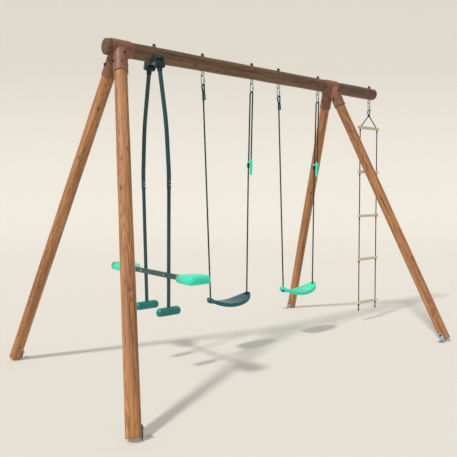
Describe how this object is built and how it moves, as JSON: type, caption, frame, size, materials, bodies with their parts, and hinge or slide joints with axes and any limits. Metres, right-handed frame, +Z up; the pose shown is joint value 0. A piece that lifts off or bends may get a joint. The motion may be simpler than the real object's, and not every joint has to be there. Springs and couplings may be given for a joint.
{
  "type": "swing set",
  "caption": "Wooden garden swing set: splayed log legs in moulded connectors carry a beam with a face-to-face glider, moulded swings and a rope ladder.",
  "frame": {"origin": "on the ground, in the middle of the whole set's outline", "axes": "+Z up, +X along the beam from the glider towards the rope ladder, +Y to the back; people swing along Y"},
  "size_m": [3.1582, 1.7968, 2.173],
  "materials": {
    "beam_wood": "stained round log, satin glaze",
    "leg_wood": "stained round log with knots, satin glaze",
    "connector_plastic": "moulded, fine grain",
    "black_plastic": "black coated steel and moulded caps",
    "zinc_steel": "zinc plated",
    "teal_steel": "powder coated",
    "hub_plastic": "moulded",
    "green_plastic": "blow moulded, satin",
    "teal_plastic": "moulded, satin",
    "clamp_plastic": "moulded",
    "mint_plastic": "blow moulded, satin",
    "green_rope": "braided",
    "black_rope": "twisted",
    "cream_plastic": "moulded"
  },
  "bodies": {
    "frame": {"beam": "beam_wood", "leg_front_left": "leg_wood", "leg_back_left": "leg_wood", "leg_front_right": "leg_wood", "leg_back_right": "leg_wood", "connector_left": "connector_plastic", "connector_right": "connector_plastic", "connector_screws": "black_plastic", "connector_bolts": "black_plastic", "anchor_front_left": "zinc_steel", "anchor_back_left": "zinc_steel", "anchor_front_right": "zinc_steel", "anchor_back_right": "zinc_steel", "anchor_bolts": "black_plastic", "hanger_eyes": "zinc_steel", "hanger_caps": "black_plastic", "hanger_washers": "zinc_steel", "glider_bracket": "teal_steel", "glider_pivot_bolts": "zinc_steel"},
    "swing_a": {"swing_a_links": "zinc_steel", "swing_a_rope_left": "green_rope", "swing_a_rope_right": "green_rope", "swing_a_clamp": "clamp_plastic"},
    "swing_a_seat": {"swing_a_seat": "teal_plastic"},
    "swing_a_adjuster": {"swing_a_adjuster": "mint_plastic", "swing_a_adjuster_knot": "black_rope"},
    "swing_b": {"swing_b_links": "zinc_steel", "swing_b_rope_left": "green_rope", "swing_b_rope_right": "green_rope", "swing_b_clamp": "clamp_plastic"},
    "swing_b_seat": {"swing_b_seat": "mint_plastic"},
    "swing_b_adjuster": {"swing_b_adjuster": "mint_plastic", "swing_b_adjuster_knot": "black_rope"},
    "glider_front_arm": {"glider_front_hub": "hub_plastic", "glider_front_upper_arm": "teal_steel", "glider_front_lower_arm": "teal_steel", "glider_front_arm_bolts": "zinc_steel", "glider_front_foot_bar": "green_plastic"},
    "glider_back_arm": {"glider_back_hub": "hub_plastic", "glider_back_upper_arm": "teal_steel", "glider_back_lower_arm": "teal_steel", "glider_back_arm_bolts": "zinc_steel", "glider_back_foot_bar": "green_plastic"},
    "glider_seats": {"glider_seat_bar": "teal_steel", "glider_bar_bolts": "zinc_steel", "glider_front_seat": "mint_plastic", "glider_back_seat": "mint_plastic"},
    "ladder_link": {"ladder_link": "zinc_steel"},
    "ladder_bridle": {"ladder_bridle": "black_rope"},
    "ladder_1": {"ladder_rung_1": "cream_plastic", "ladder_rope_1": "black_rope"},
    "ladder_2": {"ladder_rung_2": "cream_plastic", "ladder_rope_2": "black_rope"},
    "ladder_3": {"ladder_rung_3": "cream_plastic", "ladder_rope_3": "black_rope"},
    "ladder_4": {"ladder_rung_4": "cream_plastic", "ladder_rope_4": "black_rope"},
    "ladder_5": {"ladder_rung_5": "cream_plastic", "ladder_rope_5": "black_rope"}
  },
  "joints": [
    {"name": "swing_a_swing", "type": "hinge", "parent": "frame", "child": "swing_a", "pos_m": [-0.24137, 0, 2.0218], "axis": [1, 0, 0], "range_deg": [-60, 60]},
    {"name": "swing_a_seat_tilt", "type": "hinge", "parent": "swing_a", "child": "swing_a_seat", "pos_m": [-0.24137, 0, 0.40738], "axis": [1, 0, 0], "range_deg": [-22, 22]},
    {"name": "swing_a_adjuster_slide", "type": "slide", "parent": "swing_a", "child": "swing_a_adjuster", "axis": [0.0353, 0, 0.9994], "range_m": [0, 0.15]},
    {"name": "swing_b_swing", "type": "hinge", "parent": "frame", "child": "swing_b", "pos_m": [0.49963, 0, 2.0218], "axis": [1, 0, 0], "range_deg": [-60, 60]},
    {"name": "swing_b_seat_tilt", "type": "hinge", "parent": "swing_b", "child": "swing_b_seat", "pos_m": [0.49963, 0, 0.40738], "axis": [1, 0, 0], "range_deg": [-22, 22]},
    {"name": "swing_b_adjuster_slide", "type": "slide", "parent": "swing_b", "child": "swing_b_adjuster", "axis": [0.0353, 0, 0.9994], "range_m": [0, 0.15]},
    {"name": "glider_front_swing", "type": "hinge", "parent": "frame", "child": "glider_front_arm", "pos_m": [-0.86587, -0.06, 2.03], "axis": [1, 0, 0], "range_deg": [-25, 25]},
    {"name": "glider_back_swing", "type": "hinge", "parent": "frame", "child": "glider_back_arm", "pos_m": [-0.86587, 0.06, 2.03], "axis": [1, 0, 0], "range_deg": [-25.5, 25.5]},
    {"name": "glider_seat_tilt", "type": "hinge", "parent": "glider_front_arm", "child": "glider_seats", "pos_m": [-0.86587, -0.144, 0.665], "axis": [1, 0, 0], "range_deg": [-10.5, 10.5]},
    {"name": "ladder_link_swing", "type": "hinge", "parent": "frame", "child": "ladder_link", "pos_m": [1.43113, 0, 2.0218], "axis": [1, 0, 0], "range_deg": [-45, 45]},
    {"name": "ladder_side_swing", "type": "hinge", "parent": "ladder_link", "child": "ladder_bridle", "pos_m": [1.43113, 0, 1.9613], "axis": [0, 1, 0], "range_deg": [-5, 15]},
    {"name": "ladder_rung_1_fold", "type": "hinge", "parent": "ladder_bridle", "child": "ladder_1", "pos_m": [1.43113, 0, 1.788], "axis": [1, 0, 0], "range_deg": [-25, 25]},
    {"name": "ladder_rung_2_fold", "type": "hinge", "parent": "ladder_1", "child": "ladder_2", "pos_m": [1.43113, 0, 1.386], "axis": [1, 0, 0], "range_deg": [-25, 25]},
    {"name": "ladder_rung_3_fold", "type": "hinge", "parent": "ladder_2", "child": "ladder_3", "pos_m": [1.43113, 0, 0.984], "axis": [1, 0, 0], "range_deg": [-25, 25]},
    {"name": "ladder_rung_4_fold", "type": "hinge", "parent": "ladder_3", "child": "ladder_4", "pos_m": [1.43113, 0, 0.582], "axis": [1, 0, 0], "range_deg": [-25, 25]},
    {"name": "ladder_rung_5_fold", "type": "hinge", "parent": "ladder_4", "child": "ladder_5", "pos_m": [1.43113, 0, 0.18], "axis": [1, 0, 0], "range_deg": [-25, 25]}
  ],
  "couplings": [
    {"joint": "glider_back_swing", "follows": "glider_front_swing", "ratio": 1},
    {"joint": "glider_seat_tilt", "follows": "glider_front_swing", "ratio": -0.4167}
  ]
}
